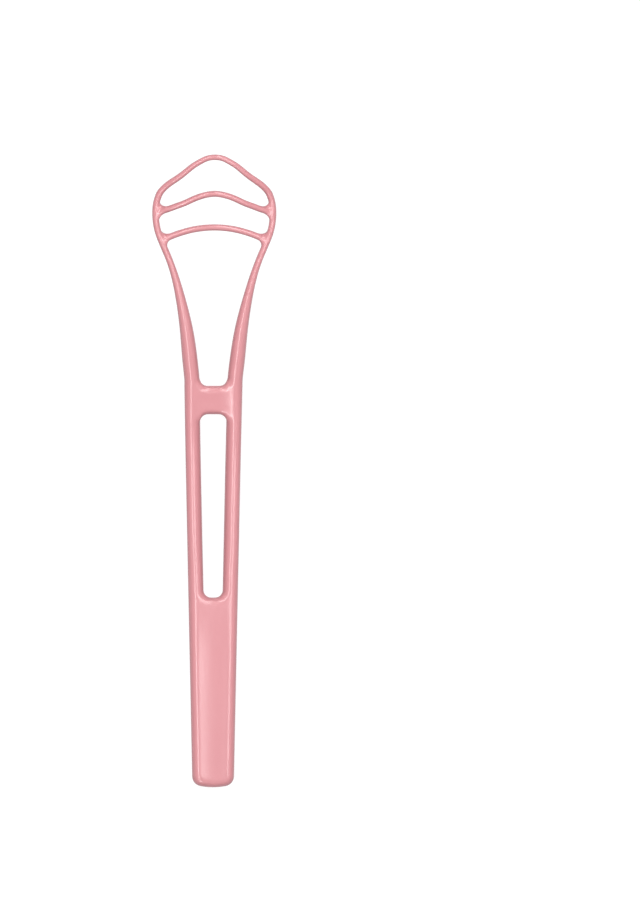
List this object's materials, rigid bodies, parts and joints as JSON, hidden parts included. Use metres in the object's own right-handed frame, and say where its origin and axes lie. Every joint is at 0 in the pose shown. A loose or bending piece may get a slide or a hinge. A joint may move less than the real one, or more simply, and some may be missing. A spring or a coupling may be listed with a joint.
{
  "type": "tongue scraper",
  "caption": "Hand-held plastic tongue scraper: dished handle, long open slot between rails, and a wide arched head whose thin curved bars sweep the tongue.",
  "frame": {"origin": "under the middle of the whole part's box, on the plane of the handle's flat back", "axes": "+Y along the scraper from the butt to the head, +Z out of the front face, +X to the right seen from the front with the head away"},
  "size_m": [0.0372, 0.1898, 0.0164],
  "materials": {
    "moulded_plastic": "glossy pink moulded plastic, softly translucent at thin edges"
  },
  "bodies": {
    "root": {"handle": "moulded_plastic", "left_rail": "moulded_plastic", "right_rail": "moulded_plastic", "bridge": "moulded_plastic", "left_arm": "moulded_plastic", "right_arm": "moulded_plastic", "left_cheek": "moulded_plastic", "right_cheek": "moulded_plastic", "rear_bar": "moulded_plastic", "middle_bar": "moulded_plastic", "front_bar": "moulded_plastic"}
  },
  "joints": []
}
